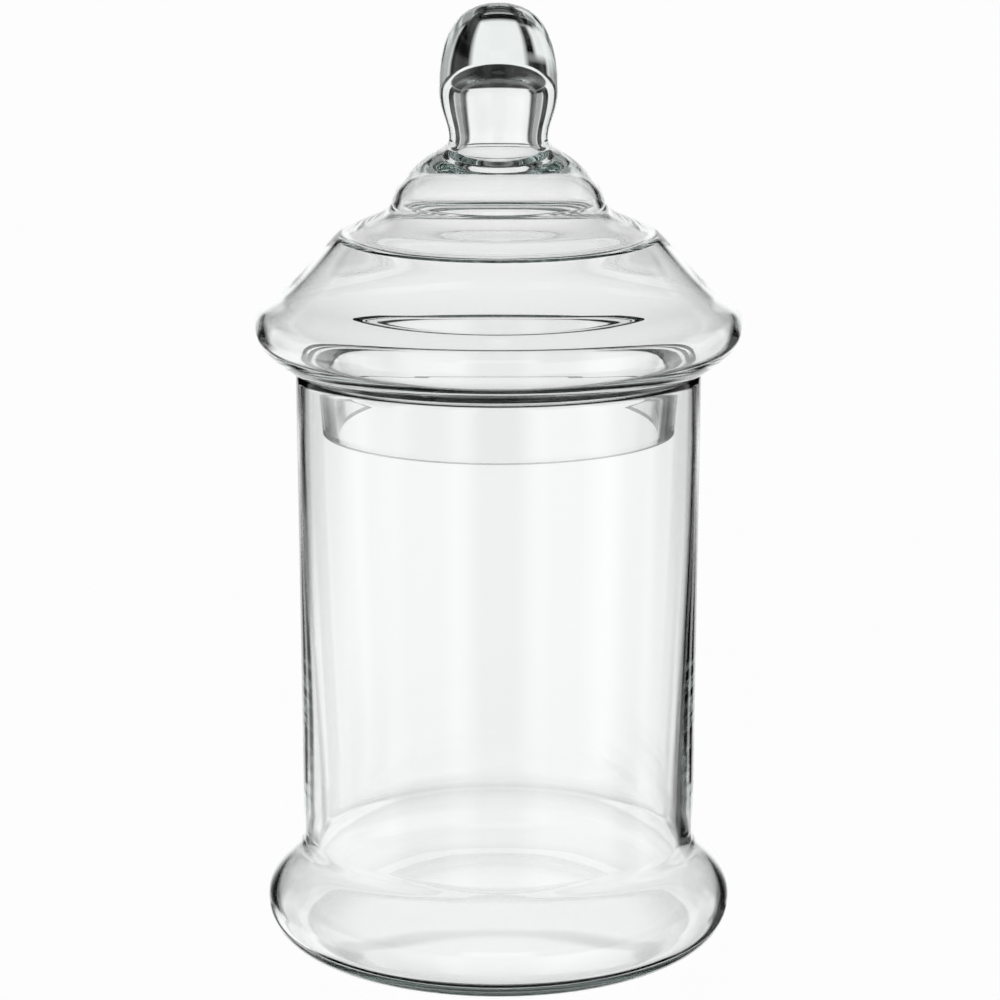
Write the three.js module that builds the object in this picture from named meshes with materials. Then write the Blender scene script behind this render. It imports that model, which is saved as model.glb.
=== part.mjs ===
// Apothecary jar with a loose lid, in clear blown glass. Millimetres, +Z up, z = 0 on the table.
// The jar and the lid are two loose pieces of glass. Each is modelled as its formed members, which meet
// face to face: rim, wall, waist, foot and floor on the jar, and collar, brim, lower dome, ledge, upper
// dome, finial stem and finial cap on the lid.
import * as THREE from "three";

// Jar, from the rim down
const JAR_HEIGHT = 198.3; // table to the top of the rim
const BODY_RADIUS = 68.1; // outside of the cylinder under the rim
const BODY_DRAFT = 0.9; // how much narrower the cylinder is at the waist
const LIP_HEIGHT = 3; // the fire-polished, rounded edge
const WAIST_HEIGHT = 37; // where the cylinder starts to flare into the foot
const FLARE_SPREAD = 6.8; // how far the hollow flare spreads before the foot rounds over
const FLARE_HEIGHT = 26; // height of that turn
const FOOT_SPREAD = 6.1; // from there out to the widest ring
const FOOT_WIDEST_HEIGHT = 14;
const REST_INSET = 14.1; // from the widest ring in to the flat underside
const RIM_WALL = 2.4;
const WAIST_WALL = 5.2; // the blown wall is thickest here
const FOOT_WALL = 3.4;
const FLOOR_THICKNESS = 4.4;

// Lid, from the seat up: each rise is measured from the level before it
const SEAT_CLEARANCE = 0.1; // between the jar's lip and the underside of the lid
const SEAT_MARGIN = 0.5; // the flat seat reaches this far past the jar's lip
const BRIM_OVERHANG = 13.9; // the lid's widest ring past the jar's body
const BRIM_ROLL_RISE = 14.1; // seat to the widest ring
const BRIM_TOP_RISE = 11.5;
const BRIM_TOP_INSET = 9.1; // from the widest ring in to the turn into the lower dome
const LOWER_DOME_RISE = 18;
const LOWER_DOME_INSET = 17.5;
const SHOULDER_RISE = 2.6; // the firm bend from the lower dome into the ledge
const SHOULDER_INSET = 3.2;
const LEDGE_RISE = 3.6;
const LEDGE_INSET = 8.2;
const UPPER_DOME_RADIUS = 35.7; // foot of the small dome
const UPPER_FILLET_RISE = 6.3;
const UPPER_DOME_RISE = 15.9;
const NECK_RADIUS = 16.4; // the finial at its narrowest
const NECK_FILLET = 5.4; // how far the small dome's crown lies out from and below the neck
const STEM_RISE = 15.4; // neck to the widest ring of the finial
const FINIAL_RADIUS = 19.7;
const CAP_RISE = 28.8; // widest ring to the tip
const HOLLOW_CROWN = 9; // rise of the rounded, closed end of the finial's hollow
const COLLAR_CLEARANCE = 4.3; // all round, between the collar's root and the jar's inside
const COLLAR_FILLET = 2.4; // from the seat into the collar
const COLLAR_DEPTH = 20.8; // seat to the cut edge
const COLLAR_TAPER = 1.8; // how much narrower the cut edge is, on the radius
const COLLAR_WALL = 5.1;
const BRIM_WALL = 3;
const DOME_WALL = 2.4;
const CROWN_WALL = 3.6; // where the small dome meets the neck
const NECK_WALL = 5.1;
const FINIAL_WALL = 6.8;

// Facets. Whole quarter turns put the widest rings at their full size on X and Y.
const TURNS = 40;
const STEPS = 4; // along one curved stretch

const glass = () =>
  new THREE.MeshStandardMaterial({
    color: 0xeaf4f1,
    roughness: 0.03,
    metalness: 0,
    transparent: true,
    opacity: 0.35,
  });

const at = (radius, height) => new THREE.Vector2(radius, height);

// A cubic curve that leaves its start and arrives at its end along [radius, height] handles.
function curve(start, leave, arrive, end, steps = STEPS) {
  const first = at(start.x + leave[0], start.y + leave[1]);
  const second = at(end.x - arrive[0], end.y - arrive[1]);
  return new THREE.CubicBezierCurve(start, first, second, end).getPoints(steps);
}

// The inside of a blown wall: each outside point moved in along its normal by the glass thickness there.
// Each stretch of the outside gives its thickness at both ends and starts where the last one ended.
function blown(stretches) {
  const after = (list, i) => (i ? list.slice(1) : list);
  const outer = stretches.flatMap((s, i) => after(s.outer, i));
  const walls = stretches.flatMap((s, i) => {
    const last = s.outer.length - 1;
    return after(
      s.outer.map((_, k) => s.from + ((s.to - s.from) * k) / last),
      i,
    );
  });
  const inner = outer.map((p, k) => {
    const before = outer[Math.max(k - 1, 0)];
    const next = outer[Math.min(k + 1, outer.length - 1)];
    const way = next.clone().sub(before).normalize();
    // the chain's two ends leave and arrive straight along an axis
    if (k === 0 || k === outer.length - 1) way.set(Math.round(way.x), Math.round(way.y));
    return at(p.x + way.y * walls[k], p.y - way.x * walls[k]);
  });
  const members = {};
  let start = 0;
  for (const { name, outer: run } of stretches) {
    const end = start + run.length - 1;
    const part = (members[name] ??= { outer: [], inner: [] });
    part.outer.push(...after(outer.slice(start, end + 1), part.outer.length));
    part.inner.push(...after(inner.slice(start, end + 1), part.inner.length));
    start = end;
  }
  return members;
}

// One member: a section that runs down the outside and back up the inside, turned about Z.
// A section that starts and ends on the axis is closed by it, and any other closes on itself.
function turned(name, section) {
  const outline = section[0].x === 0 ? section : [...section, section[0]];
  const geometry = new THREE.LatheGeometry(outline.map((p) => p.clone()).reverse(), TURNS);
  geometry.rotateX(Math.PI / 2);
  const mesh = new THREE.Mesh(geometry, glass());
  mesh.name = name;
  return mesh;
}

const between = ({ outer, inner }) => [...outer, ...inner.slice().reverse()];

// The jar's foot: down the flare, over the round shoulder and under to the flat rest.
function jarFoot() {
  const waist = at(BODY_RADIUS - BODY_DRAFT, WAIST_HEIGHT);
  const flare = at(waist.x + FLARE_SPREAD, FLARE_HEIGHT);
  const widest = at(flare.x + FOOT_SPREAD, FOOT_WIDEST_HEIGHT);
  const rest = at(widest.x - REST_INSET, 0);
  const drop = WAIST_HEIGHT - FLARE_HEIGHT;
  const shoulder = FLARE_HEIGHT - FOOT_WIDEST_HEIGHT;
  const turn = [0.5 * FLARE_SPREAD, -0.32 * drop];
  return blown([
    { name: "jar_waist", from: WAIST_WALL, to: FOOT_WALL, outer: curve(waist, [0, -0.55 * drop], turn, flare) },
    { name: "jar_foot", from: FOOT_WALL, to: FOOT_WALL, outer: curve(flare, turn, [0, -0.4 * shoulder], widest) },
    {
      name: "jar_foot",
      from: FOOT_WALL,
      to: FLOOR_THICKNESS,
      outer: curve(widest, [0, -0.49 * FOOT_WIDEST_HEIGHT], [-0.6 * REST_INSET, 0], rest),
    },
  ]);
}

// The lid's shell: down the finial's stem, over both domes and the brim, and in along the seat.
function lidShell() {
  const seat = JAR_HEIGHT + SEAT_CLEARANCE;
  const brimHeight = seat + BRIM_ROLL_RISE;
  const brimTopHeight = brimHeight + BRIM_TOP_RISE;
  const shoulderHeight = brimTopHeight + LOWER_DOME_RISE;
  const stepHeight = shoulderHeight + SHOULDER_RISE;
  const ledgeHeight = stepHeight + LEDGE_RISE;
  const domeHeight = ledgeHeight + UPPER_FILLET_RISE;
  const crownHeight = domeHeight + UPPER_DOME_RISE;
  const neckHeight = crownHeight + NECK_FILLET;

  const widest = at(BODY_RADIUS + BRIM_OVERHANG, brimHeight);
  const brimTop = at(widest.x - BRIM_TOP_INSET, brimTopHeight);
  const shoulder = at(brimTop.x - LOWER_DOME_INSET, shoulderHeight);
  const step = at(shoulder.x - SHOULDER_INSET, stepHeight);
  const ledge = at(step.x - LEDGE_INSET, ledgeHeight);
  const dome = at(UPPER_DOME_RADIUS, domeHeight);
  const crown = at(NECK_RADIUS + NECK_FILLET, crownHeight);
  const neck = at(NECK_RADIUS, neckHeight);
  const finial = at(FINIAL_RADIUS, neckHeight + STEM_RISE);
  const seatEdge = at(BODY_RADIUS + SEAT_MARGIN, seat);
  const collarRadius = BODY_RADIUS - RIM_WALL - COLLAR_CLEARANCE;
  const collar = at(collarRadius, seat - COLLAR_FILLET);

  const crownWay = [0.6 * NECK_FILLET, -0.42 * NECK_FILLET];
  const domeWay = [0.03 * UPPER_DOME_RADIUS, -0.3 * UPPER_DOME_RISE];
  const ledgeWay = [0.34 * LEDGE_INSET, -0.34 * LEDGE_RISE];
  const stepWay = [0.34 * SHOULDER_INSET, -0.2 * SHOULDER_RISE];
  const shoulderWay = [0.28 * SHOULDER_INSET, -0.38 * SHOULDER_RISE];
  const shoulderRun = [0.2 * LOWER_DOME_INSET, -0.21 * LOWER_DOME_RISE];
  const brimWay = [0.55 * BRIM_TOP_INSET, -0.29 * BRIM_TOP_RISE];
  const seatSpan = widest.x - seatEdge.x;
  const underWay = [-0.33 * seatSpan, -0.17 * BRIM_ROLL_RISE];

  const shell = blown([
    {
      name: "finial_stem",
      from: FINIAL_WALL,
      to: NECK_WALL,
      outer: curve(finial, [0, -0.4 * STEM_RISE], [0, -0.3 * STEM_RISE], neck),
    },
    {
      name: "finial_stem",
      from: NECK_WALL,
      to: CROWN_WALL,
      outer: curve(neck, [0, -0.55 * NECK_FILLET], crownWay, crown),
    },
    {
      name: "upper_dome",
      from: CROWN_WALL,
      to: DOME_WALL,
      outer: curve(crown, [0.54 * (dome.x - crown.x), -0.29 * UPPER_DOME_RISE], domeWay, dome),
    },
    { name: "dome_ledge", from: DOME_WALL, to: DOME_WALL, outer: curve(dome, domeWay, ledgeWay, ledge) },
    { name: "dome_ledge", from: DOME_WALL, to: DOME_WALL, outer: curve(ledge, ledgeWay, ledgeWay, step, 1) },
    { name: "dome_ledge", from: DOME_WALL, to: DOME_WALL, outer: curve(step, stepWay, shoulderWay, shoulder, 3) },
    { name: "lower_dome", from: DOME_WALL, to: BRIM_WALL, outer: curve(shoulder, shoulderRun, brimWay, brimTop) },
    {
      name: "lid_brim",
      from: BRIM_WALL,
      to: BRIM_WALL,
      outer: curve(brimTop, brimWay, [0, -0.4 * BRIM_TOP_RISE], widest),
    },
    {
      name: "lid_brim",
      from: BRIM_WALL,
      to: BRIM_WALL,
      outer: curve(widest, [0, -0.37 * BRIM_ROLL_RISE], underWay, seatEdge),
    },
    {
      name: "lid_brim",
      from: BRIM_WALL,
      to: COLLAR_WALL,
      outer: curve(seatEdge, [collar.x - seatEdge.x + COLLAR_FILLET, 0], [0, -COLLAR_FILLET], collar),
    },
  ]);
  return { shell, finial, collar, cutHeight: seat - COLLAR_DEPTH };
}

function jar() {
  const foot = jarFoot();
  const lipFoot = JAR_HEIGHT - LIP_HEIGHT;
  const lipOut = at(BODY_RADIUS, lipFoot);
  const lipIn = at(BODY_RADIUS - RIM_WALL, lipFoot);
  const lipTop = at(BODY_RADIUS - RIM_WALL / 2, JAR_HEIGHT);
  const round = 0.6 * LIP_HEIGHT;
  const bow = 0.3 * RIM_WALL;
  const waistOut = foot.jar_waist.outer[0];
  const waistIn = foot.jar_waist.inner[0];
  const inside = lipFoot - WAIST_HEIGHT;
  const floorEdge = foot.jar_foot.outer.at(-1);
  const floorTop = foot.jar_foot.inner.at(-1);
  return [
    turned("jar_rim", [
      ...curve(lipIn, [0, round], [bow, 0], lipTop),
      ...curve(lipTop, [bow, 0], [0, -round], lipOut).slice(1),
    ]),
    turned("jar_wall", [
      lipOut,
      waistOut,
      ...curve(waistIn, [0, 0.2 * inside], [0, 0.5 * inside], lipIn),
    ]),
    turned("jar_waist", between(foot.jar_waist)),
    turned("jar_foot", between(foot.jar_foot)),
    turned("jar_floor", [at(0, floorTop.y), floorTop, floorEdge, at(0, 0)]),
  ];
}

function lid() {
  const { shell, finial, collar, cutHeight } = lidShell();
  const tip = at(0, finial.y + CAP_RISE);
  const hollowEdge = shell.finial_stem.inner[0];
  const hollowTop = at(0, hollowEdge.y + HOLLOW_CROWN);
  const collarIn = shell.lid_brim.inner.at(-1);
  return [
    turned("finial_cap", [
      ...curve(tip, [0.66 * FINIAL_RADIUS, 0], [0, -0.69 * CAP_RISE], finial, 2 * STEPS),
      ...curve(hollowEdge, [0, 0.55 * HOLLOW_CROWN], [-0.55 * hollowEdge.x, 0], hollowTop),
    ]),
    turned("finial_stem", between(shell.finial_stem)),
    turned("upper_dome", between(shell.upper_dome)),
    turned("dome_ledge", between(shell.dome_ledge)),
    turned("lower_dome", between(shell.lower_dome)),
    turned("lid_brim", between(shell.lid_brim)),
    turned("lid_collar", [
      collar,
      at(collar.x - COLLAR_TAPER, cutHeight),
      at(collarIn.x - COLLAR_TAPER, cutHeight),
      collarIn,
    ]),
  ];
}

const group = new THREE.Group();
group.add(...jar(), ...lid());

export default group;
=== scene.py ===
from math import pi, radians

import bpy
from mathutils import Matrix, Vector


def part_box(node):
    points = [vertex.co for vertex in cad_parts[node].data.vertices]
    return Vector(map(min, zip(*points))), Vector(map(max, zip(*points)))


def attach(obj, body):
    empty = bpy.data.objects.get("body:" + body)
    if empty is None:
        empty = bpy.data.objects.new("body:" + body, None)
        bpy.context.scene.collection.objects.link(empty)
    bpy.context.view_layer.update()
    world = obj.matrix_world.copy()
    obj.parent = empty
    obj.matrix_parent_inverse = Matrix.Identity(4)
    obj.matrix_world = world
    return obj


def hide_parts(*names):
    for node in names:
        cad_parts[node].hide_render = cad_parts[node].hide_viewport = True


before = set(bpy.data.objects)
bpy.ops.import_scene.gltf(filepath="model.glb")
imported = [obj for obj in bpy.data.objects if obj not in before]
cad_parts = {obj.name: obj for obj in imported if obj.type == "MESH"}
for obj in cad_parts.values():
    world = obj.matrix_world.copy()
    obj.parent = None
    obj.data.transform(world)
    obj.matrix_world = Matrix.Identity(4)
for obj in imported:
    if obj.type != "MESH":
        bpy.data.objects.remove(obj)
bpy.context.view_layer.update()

# The camera stands a little over a metre from the jar and somewhat above the lid, with a long lens,
# so that the rim, the brim and the foot all show as flat ellipses.
CAMERA_DISTANCE = 1.135
CAMERA_HEIGHT = 0.41027
CAMERA_TILT = 12.8  # degrees below level
LENS = 123.48  # millimetres, on a sensor 36 mm wide
AXIS_OFFSET = 0.0015  # the jar stands this share of the frame left of its middle

bpy.ops.object.camera_add(
    location=(0, -CAMERA_DISTANCE, CAMERA_HEIGHT),
    rotation=(radians(90 - CAMERA_TILT), 0, 0),
)
camera = bpy.context.object
camera.name = "camera"
camera.data.sensor_width = 36
camera.data.lens = LENS
camera.data.shift_x = AXIS_OFFSET
camera.data.clip_end = 100
bpy.context.scene.camera = camera

# The jar: one piece of clear soda-lime glass, blown and worked on the iron. The wall is thin at the
# fire-polished lip and thickens down to the waist, where it turns out into a hollow, rolled foot that
# is open to the inside. It stands on the flat of the foot.
MM = 0.001  # in metres
TURN_STEPS = 240
OUTLINE_STEPS = 10  # from one outline point to the next
WELD = 0.00001
CREASE = 35  # degrees; only a cut edge is sharper than this


def turned_glass(name, start, stretches):
    """Turns a closed half outline about the upright axis. It begins at start, on the axis, and each
    stretch is (end, leaving handle, arriving handle), in metres; a straight stretch has no handles."""
    ends = [start] + [end for end, _, _ in stretches]
    bpy.ops.object.select_all(action="DESELECT")
    bpy.ops.curve.primitive_bezier_curve_add(location=(0, 0, 0))
    outline = bpy.context.object
    outline.data.resolution_u = OUTLINE_STEPS
    spline = outline.data.splines[0]
    spline.resolution_u = OUTLINE_STEPS
    spline.bezier_points.add(len(ends) - 2)
    for point, (radius, height) in zip(spline.bezier_points, ends):
        point.handle_left_type = point.handle_right_type = "FREE"
        point.co = point.handle_left = point.handle_right = (radius, 0, height)
    for i, (end, leave, arrive) in enumerate(stretches):
        begin = ends[i]
        if leave is None:
            leave = arrive = ((end[0] - begin[0]) / 3, (end[1] - begin[1]) / 3)
        spline.bezier_points[i].handle_right = (begin[0] + leave[0], 0, begin[1] + leave[1])
        spline.bezier_points[i + 1].handle_left = (end[0] - arrive[0], 0, end[1] - arrive[1])
    bpy.ops.object.convert(target="MESH")
    piece = bpy.context.object
    piece.name = piece.data.name = name
    bpy.ops.object.mode_set(mode="EDIT")
    bpy.ops.mesh.select_all(action="SELECT")
    bpy.ops.mesh.remove_doubles(threshold=WELD)
    bpy.ops.mesh.spin(steps=TURN_STEPS, angle=2 * pi, center=(0, 0, 0), axis=(0, 0, 1))
    bpy.ops.mesh.select_all(action="SELECT")
    bpy.ops.mesh.remove_doubles(threshold=WELD)
    bpy.ops.mesh.normals_make_consistent(inside=False)
    bpy.ops.object.mode_set(mode="OBJECT")
    bpy.ops.object.shade_smooth_by_angle(angle=radians(CREASE))
    return piece


def part_way(stretch, scale):
    """The same bend on the inside of the wall: handles shorter by scale, running the other way."""
    leave, arrive = stretch
    return (-arrive[0] * scale, -arrive[1] * scale), (-leave[0] * scale, -leave[1] * scale)


lip_low, lip_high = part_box("jar_rim")
wall_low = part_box("jar_wall")[0]
waist_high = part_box("jar_waist")[1]
foot_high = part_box("jar_foot")[1]
floor_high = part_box("jar_floor")[1]

LIP_WALL = 2.4 * MM
WAIST_WALL = 5.2 * MM
FLARE_WALL = (2.45 * MM, 2.38 * MM)  # inwards and down, so square to the slope of the flare
FOOT_WALL = 3.4 * MM
BODY_DRAFT = 0.9 * MM  # the cylinder is this much narrower at the waist
FOOT_WIDEST_HEIGHT = 14 * MM
UNDERSIDE_HOLLOW = 0.3 * MM  # the middle of the underside clears the table

lip_radius = lip_high.x
waist = (lip_radius - BODY_DRAFT, wall_low.z)
flare = (waist_high.x, foot_high.z)
widest = (foot_high.x, FOOT_WIDEST_HEIGHT)
rest = (floor_high.x, 0)
lip_round = 0.6 * (lip_high.z - lip_low.z)
lip_bow = 0.3 * LIP_WALL
inside_height = lip_low.z - wall_low.z

under_bend = ((0.6 * (widest[0] - rest[0]), 0), (0, 0.486 * FOOT_WIDEST_HEIGHT))
shoulder_bend = ((0, 4.8 * MM), (-3.4 * MM, 3.5 * MM))
waist_bend = ((-3.4 * MM, 3.5 * MM), (0, 6.1 * MM))
inner_waist_bend = part_way(waist_bend, 1.0)
inner_shoulder_bend = part_way(shoulder_bend, 0.75)
inner_under_bend = part_way(under_bend, 0.9)

jar_glass_piece = turned_glass(
    "jar_glass",
    (0, UNDERSIDE_HOLLOW),
    [
        # out along the underside and up the outside
        (rest, (0.5 * rest[0], 0), (0.1 * rest[0], 0)),
        (widest, *under_bend),
        (flare, *shoulder_bend),
        (waist, *waist_bend),
        ((lip_radius, lip_low.z), None, None),
        # over the rounded lip
        ((lip_radius - LIP_WALL / 2, lip_high.z), (0, lip_round), (-lip_bow, 0)),
        ((lip_radius - LIP_WALL, lip_low.z), (-lip_bow, 0), (0, -lip_round)),
        # down the inside and in across the floor
        ((waist[0] - WAIST_WALL, waist[1]), (0, -0.5 * inside_height), (0, -0.2 * inside_height)),
        ((flare[0] - FLARE_WALL[0], flare[1] - FLARE_WALL[1]), *inner_waist_bend),
        ((widest[0] - FOOT_WALL, widest[1]), *inner_shoulder_bend),
        ((rest[0], floor_high.z), *inner_under_bend),
        ((0, floor_high.z), None, None),
    ],
)


def add_node(tree, kind, links=None, **settings):
    """Adds one node with its settings. An input in links, by name or number, takes another node's
    output or a plain number."""
    node = tree.nodes.new(kind)
    for key, value in settings.items():
        if hasattr(node, key):
            setattr(node, key, value)
        else:
            node.inputs[key.replace("_", " ")].default_value = value
    for key, source in (links or {}).items():
        if isinstance(source, (int, float)):
            node.inputs[key].default_value = source
        else:
            tree.links.new(source, node.inputs[key])
    return node


def linear(hex_colour):
    """An sRGB hex colour as the linear colour that a socket takes."""
    parts = [int(hex_colour[i : i + 2], 16) / 255 for i in (1, 3, 5)]
    return tuple(c / 12.92 if c <= 0.04045 else ((c + 0.055) / 1.055) ** 2.4 for c in parts) + (1,)


# Soda-lime glass, blown and fire-polished: colourless through one wall, and a cool grey-green where
# the eye looks along the wall. Blowing leaves slow waves a few centimetres long, and drawing leaves
# faint level ripples, so that thin lines seen through it waver. The ground edge and the worn rest are
# matt. The waves are too slight to see themselves.
GLASS_IOR = 1.5
CLEAR = "#FFFFFF"  # the surface takes no colour; the tint is in the depth
GLASS_TINT = "#C4DAD5"
TINT_DENSITY = 8  # per metre
WAVE_LENGTH = 34 * MM
WAVE_DEPTH = 0.02 * MM
RIPPLE_LENGTH = 7 * MM
RIPPLE_DEPTH = 0.0015 * MM
GROUND_ROUGHNESS = 0.3


def blown_glass(name, matt_height, matt_depth, seed):
    """Glass for one piece; it is matt from matt_height up to matt_depth above it."""
    material = bpy.data.materials.new(name)
    material.use_nodes = True
    tree = material.node_tree
    tree.nodes.clear()
    place = add_node(tree, "ShaderNodeTexCoord").outputs["Object"]
    shifted = add_node(tree, "ShaderNodeMapping", {"Vector": place}, Location=(seed, 0, 0))
    waves = add_node(
        tree, "ShaderNodeTexNoise", {"Vector": shifted.outputs[0]}, Scale=1 / WAVE_LENGTH, Detail=1
    )
    drawn = add_node(tree, "ShaderNodeMapping", {"Vector": place}, Scale=(0.2, 0.2, 1))
    ripples = add_node(
        tree, "ShaderNodeTexNoise", {"Vector": drawn.outputs[0]}, Scale=1 / RIPPLE_LENGTH, Detail=1
    )
    rippled = add_node(tree, "ShaderNodeBump", {"Height": ripples.outputs[0]}, Distance=RIPPLE_DEPTH)
    waved = add_node(
        tree,
        "ShaderNodeBump",
        {"Height": waves.outputs[0], "Normal": rippled.outputs[0]},
        Distance=WAVE_DEPTH,
    )
    height = add_node(tree, "ShaderNodeSeparateXYZ", {"Vector": place}).outputs["Z"]
    matt = add_node(
        tree,
        "ShaderNodeMapRange",
        {"Value": height},
        From_Min=matt_height,
        From_Max=matt_height + matt_depth,
        To_Min=GROUND_ROUGHNESS,
        To_Max=0,
    )
    surface = add_node(
        tree,
        "ShaderNodeBsdfPrincipled",
        {"Normal": waved.outputs[0], "Roughness": matt.outputs[0]},
        Base_Color=linear(CLEAR),
        IOR=GLASS_IOR,
        Transmission_Weight=1,
    )
    inside = add_node(
        tree, "ShaderNodeVolumeAbsorption", Color=linear(GLASS_TINT), Density=TINT_DENSITY
    )
    add_node(
        tree,
        "ShaderNodeOutputMaterial",
        {"Surface": surface.outputs[0], "Volume": inside.outputs[0]},
    )
    return material


REST_WEAR = 0.15 * MM
jar_glass_piece.data.materials.append(blown_glass("soda_lime_jar_glass", 0, REST_WEAR, 0))
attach(jar_glass_piece, "jar")
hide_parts("jar_rim", "jar_wall", "jar_waist", "jar_foot", "jar_floor")

# The lid: a second blown piece of the same glass. From the tip down it is a solid egg on a hollow
# stem, a small dome, a flat ledge with a firm shoulder, the wide lower dome and a rolled brim. The
# plug collar under the brim hangs in the jar's mouth, and its lower edge is cut and ground.
cap_low, cap_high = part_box("finial_cap")
stem_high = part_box("finial_stem")[1]
dome_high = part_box("upper_dome")[1]
ledge_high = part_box("dome_ledge")[1]
lower_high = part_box("lower_dome")[1]
brim_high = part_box("lid_brim")[1]
collar_low, collar_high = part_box("lid_collar")

NECK_RISE = 15.4 * MM  # from the narrowest ring of the finial up to its widest
NECK_RADIUS = 16.4 * MM
HOLLOW_NECK_RADIUS = 11.4 * MM
HOLLOW_MOUTH_RADIUS = 14.8 * MM  # where the finial's hollow opens into the small dome
HOLLOW_MOUTH_DROP = 1.4 * MM  # below the crown, as is the next
HOLLOW_DOME_RADIUS = 23.5 * MM  # the small dome's inside, where its thick crown begins
CROWN_DEPTH = 4.9 * MM
HOLLOW_TOP = 20.0 * MM  # glass above the closed end of the hollow
BRIM_WIDEST_DROP = 11.5 * MM  # from the turn above the brim down to its widest ring
SEAT_RISE = 2.4 * MM  # the fillet from the collar's root out to the seat
SEAT_OVERHANG = 0.5 * MM
COLLAR_TAPER = 1.8 * MM
COLLAR_WALL = 5.1 * MM
SHOULDER_STEP = (3.2 * MM, 2.6 * MM)  # how far the firm bend runs in and up from the lower dome
LEDGE_STEP = (8.2 * MM, 3.6 * MM)

tip = (0, cap_high.z)
grip = (cap_high.x, cap_low.z)
neck = (NECK_RADIUS, grip[1] - NECK_RISE)
crown = (stem_high.x, dome_high.z)
dome_foot = (dome_high.x, ledge_high.z)
shoulder = (ledge_high.x, lower_high.z)
step = (shoulder[0] - SHOULDER_STEP[0], shoulder[1] + SHOULDER_STEP[1])
ledge = (step[0] - LEDGE_STEP[0], step[1] + LEDGE_STEP[1])
brim_turn = (lower_high.x, brim_high.z)
brim = (brim_high.x, brim_turn[1] - BRIM_WIDEST_DROP)
seat = (lip_radius + SEAT_OVERHANG, collar_high.z + SEAT_RISE)
collar_root = (collar_high.x, collar_high.z)
cut = (collar_root[0] - COLLAR_TAPER, collar_low.z)


def inside(ring, nearer, lower):
    """The inner surface's point by an outer ring: so many millimetres nearer the axis and lower."""
    return (ring[0] - nearer * MM, ring[1] - lower * MM)


def bend(*handles):
    """Leaving and arriving handles from four numbers in millimetres."""
    return (handles[0] * MM, handles[1] * MM), (handles[2] * MM, handles[3] * MM)


lid_glass_piece = turned_glass(
    "lid_glass",
    tip,
    [
        # down the outside, from the tip of the finial to the seat and the collar's cut edge
        (grip, *bend(13.0, 0, 0, -19.9)),
        (neck, *bend(0, -6.2, 0, -4.6)),
        (crown, *bend(0, -3.0, 3.2, -2.3)),
        (dome_foot, *bend(7.6, -4.6, 1.1, -4.8)),
        (ledge, *bend(0.2, -2.6, 5.0, -2.0)),
        (step, *bend(2.8, -1.1, 2.8, -1.1)),
        (shoulder, *bend(1.2, -0.6, 0.9, -1.0)),
        (brim_turn, *bend(3.6, -3.8, 5.4, -3.2)),
        (brim, *bend(5.0, -3.3, 0, -5.2)),
        (seat, *bend(0, -5.2, -4.4, -2.4)),
        (collar_root, *bend(-4.8, 0, 0, -2.4)),
        (cut, None, None),
        # across the cut edge and up the inside, to the closed end of the finial's hollow
        ((cut[0] - COLLAR_WALL, cut[1]), None, None),
        ((collar_root[0] - COLLAR_WALL, collar_root[1]), None, None),
        (inside(seat, 1.2, -3.2), *bend(0.2, 3.2, 4.0, 1.8)),
        (inside(brim, 3.0, 0), *bend(4.2, 2.4, 0, 4.6)),
        (inside(brim_turn, 1.6, 2.5), *bend(0, 4.3, -4.6, 3.0)),
        (inside(step, -0.6, 3.4), *bend(-4.6, 3.0, -1.2, 1.6)),
        (inside(ledge, 0.8, 2.2), *bend(-3.6, 0.4, -2.8, 1.2)),
        (inside(dome_foot, 2.5, 0), *bend(-5.4, 2.4, -0.3, 3.4)),
        ((HOLLOW_DOME_RADIUS, crown[1] - CROWN_DEPTH), *bend(-0.8, 4.6, -3.6, 1.6)),
        ((HOLLOW_MOUTH_RADIUS, crown[1] - HOLLOW_MOUTH_DROP), *bend(-3.2, 1.2, -1.2, 0.7)),
        ((HOLLOW_NECK_RADIUS, neck[1] + 0.7 * MM), *bend(-2.2, 1.3, 0, 3.4)),
        (inside(grip, 6.7, 1.2), *bend(0, 4.6, 0, 3.6)),
        ((0, tip[1] - HOLLOW_TOP), *bend(0, 5.5, -7.2, 0)),
    ],
)
GROUND_EDGE = 0.4 * MM
LID_WAVES = 0.3  # moves the waves, so that the lid's aren't the jar's
lid_glass_piece.data.materials.append(
    blown_glass("soda_lime_lid_glass", collar_low.z, GROUND_EDGE, LID_WAVES)
)
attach(lid_glass_piece, "lid")
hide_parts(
    "lid_collar",
    "lid_brim",
    "lower_dome",
    "dome_ledge",
    "upper_dome",
    "finial_stem",
    "finial_cap",
)

# The table: a wide, pale, matt sheet that is lit from below as well as above, as glass is shown on.
FLOOR_RADIUS = 12
FLOOR_GAP = 0.05 * MM  # below the foot, so that the two faces never share a place
FLOOR_COLOUR = "#696969"  # what it scatters of the studio's light, beside its own
FLOOR_LIGHT = "#FFFFFF"
FLOOR_STRENGTH = 0.97
bpy.ops.object.select_all(action="DESELECT")
bpy.ops.mesh.primitive_circle_add(
    vertices=128, radius=FLOOR_RADIUS, fill_type="NGON", location=(0, 0, -FLOOR_GAP)
)
floor = bpy.context.object
floor.name = "floor"
bpy.ops.object.transform_apply(location=True)
paper = bpy.data.materials.new("lit_white_acrylic")
paper.use_nodes = True
paper_shader = paper.node_tree.nodes["Principled BSDF"]
paper_shader.inputs["Base Color"].default_value = linear(FLOOR_COLOUR)
paper_shader.inputs["Roughness"].default_value = 1
paper_shader.inputs["Specular IOR Level"].default_value = 0
paper_shader.inputs["Emission Color"].default_value = linear(FLOOR_LIGHT)
paper_shader.inputs["Emission Strength"].default_value = FLOOR_STRENGTH
floor.data.materials.append(paper)
floor.visible_transmission = False
floor.visible_glossy = False
floor.visible_diffuse = False

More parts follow.
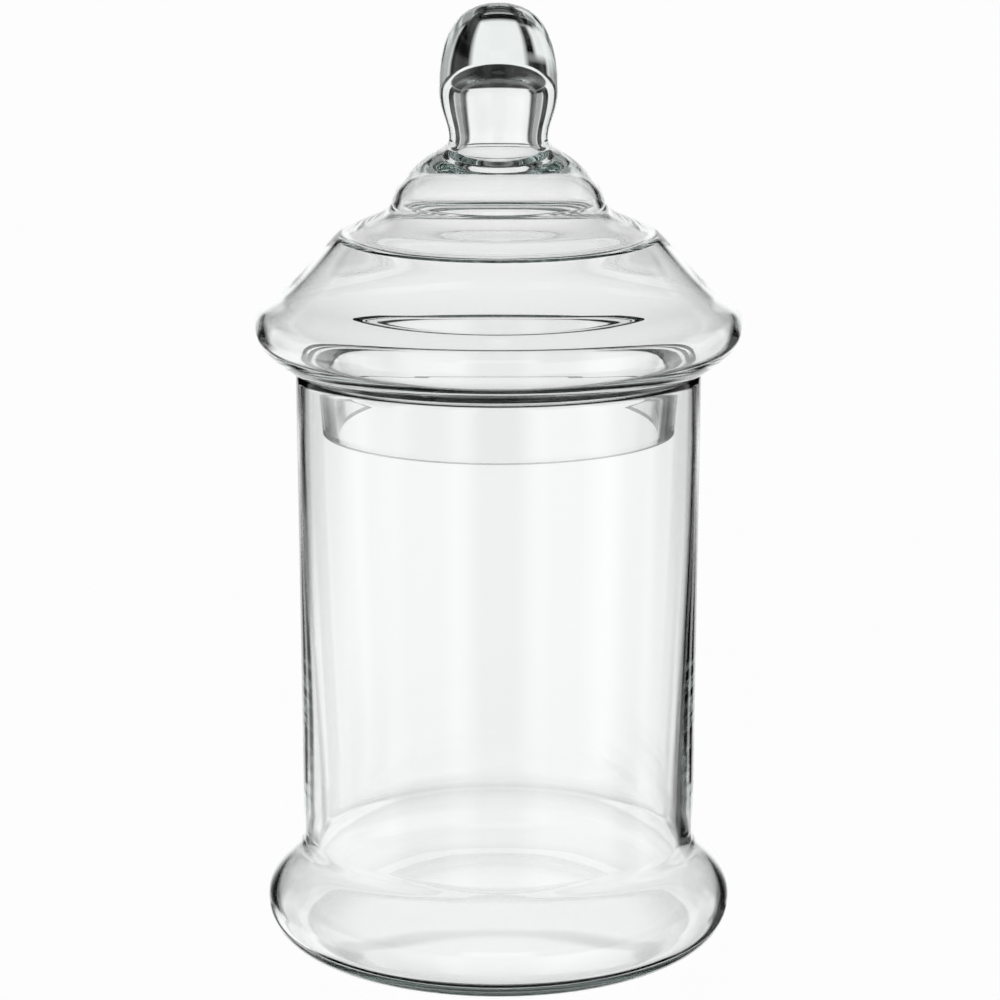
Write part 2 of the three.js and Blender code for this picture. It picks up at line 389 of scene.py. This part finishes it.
# The studio: a white room all round, with matt black and grey flags beside the view, behind it, above
# and below. Clear glass shows its edges against them: where the wall bends the view aside, it meets a
# flag. The ways that the jar is looked at from are left white.
# Each flag: the middle and half the width of what it covers, clockwise from +Y, its lowest and
# highest edge above level, how soft its edges are, all in degrees, and how dark it is.
FLAGS = [
    (33, 15, -90, 27, 5, 0.995),
    (-33, 15, -19, 27, 5, 0.995),
    (-33, 15, -90, -36, 5, 0.995),
    (-25.5, 7.5, -41, -14, 5, 0.995),
    (64, 20, -90, 27, 8, 0.6),
    (-64, 20, -19, 27, 8, 0.6),
    (-64, 20, -90, -36, 8, 0.6),
    (0, 185, 25, 91, 5, 0.99),
    (90, 74, 11, 30, 5, 0.99),
    (-90, 74, 11, 30, 5, 0.99),
    (0, 185, -91, -40, 5, 0.995),
    (-136, 26, -60, 27, 16, 0.75),
    (97, 16, -60, 27, 12, 0.7),
    (180, 26, -60, 27, 16, 0.75),
    (-93, 18, -60, -19.5, 5, 0.95),
]
ROOM_WHITE = "#FFFFFF"
world = bpy.data.worlds.new("studio")
bpy.context.scene.world = world
world.use_nodes = True
tree = world.node_tree
tree.nodes.clear()

way = add_node(tree, "ShaderNodeTexCoord").outputs["Generated"]
way = add_node(tree, "ShaderNodeSeparateXYZ", {"Vector": way})
turned = add_node(
    tree, "ShaderNodeMath", {0: way.outputs["X"], 1: way.outputs["Y"]}, operation="ARCTAN2"
)
raised = add_node(tree, "ShaderNodeMath", {0: way.outputs["Z"]}, operation="ARCSINE")
turn, rise = [
    add_node(tree, "ShaderNodeMath", {0: angle.outputs[0], 1: 180 / pi}, operation="MULTIPLY").outputs[0]
    for angle in (turned, raised)
]
light = 1.0
for middle, half_width, lowest, highest, edge, darkness in FLAGS:
    off = add_node(tree, "ShaderNodeMath", {0: turn, 1: middle}, operation="SUBTRACT")
    off = add_node(tree, "ShaderNodeMath", {0: off.outputs[0], 1: 180, 2: -180}, operation="WRAP")
    off = add_node(tree, "ShaderNodeMath", {0: off.outputs[0]}, operation="ABSOLUTE")
    covered = 1.0
    for far, near in ((half_width, off.outputs[0]), (rise, lowest), (highest, rise)):
        past = add_node(tree, "ShaderNodeMath", {0: far, 1: near}, operation="SUBTRACT")
        ramp = add_node(
            tree, "ShaderNodeMath", {0: past.outputs[0], 1: edge}, operation="DIVIDE", use_clamp=True
        )
        both = add_node(tree, "ShaderNodeMath", {0: covered, 1: ramp.outputs[0]}, operation="MULTIPLY")
        covered = both.outputs[0]
    held = add_node(tree, "ShaderNodeMath", {0: covered, 1: darkness}, operation="MULTIPLY")
    passed = add_node(tree, "ShaderNodeMath", {0: 1, 1: held.outputs[0]}, operation="SUBTRACT")
    left = add_node(tree, "ShaderNodeMath", {0: light, 1: passed.outputs[0]}, operation="MULTIPLY")
    light = left.outputs[0]
seen = add_node(tree, "ShaderNodeLightPath").outputs["Is Camera Ray"]
light = add_node(tree, "ShaderNodeMath", {0: light, 1: seen}, operation="MAXIMUM").outputs[0]
sky = add_node(tree, "ShaderNodeBackground", {"Strength": light}, Color=linear(ROOM_WHITE))
add_node(tree, "ShaderNodeOutputWorld", {"Surface": sky.outputs[0]})

# Light crosses many faces of glass in the lid, so it is followed through more of them than usual.
scene = bpy.context.scene
scene.view_settings.view_transform = "Standard"
scene.cycles.max_bounces = 40
scene.cycles.transmission_bounces = 40
scene.cycles.glossy_bounces = 24
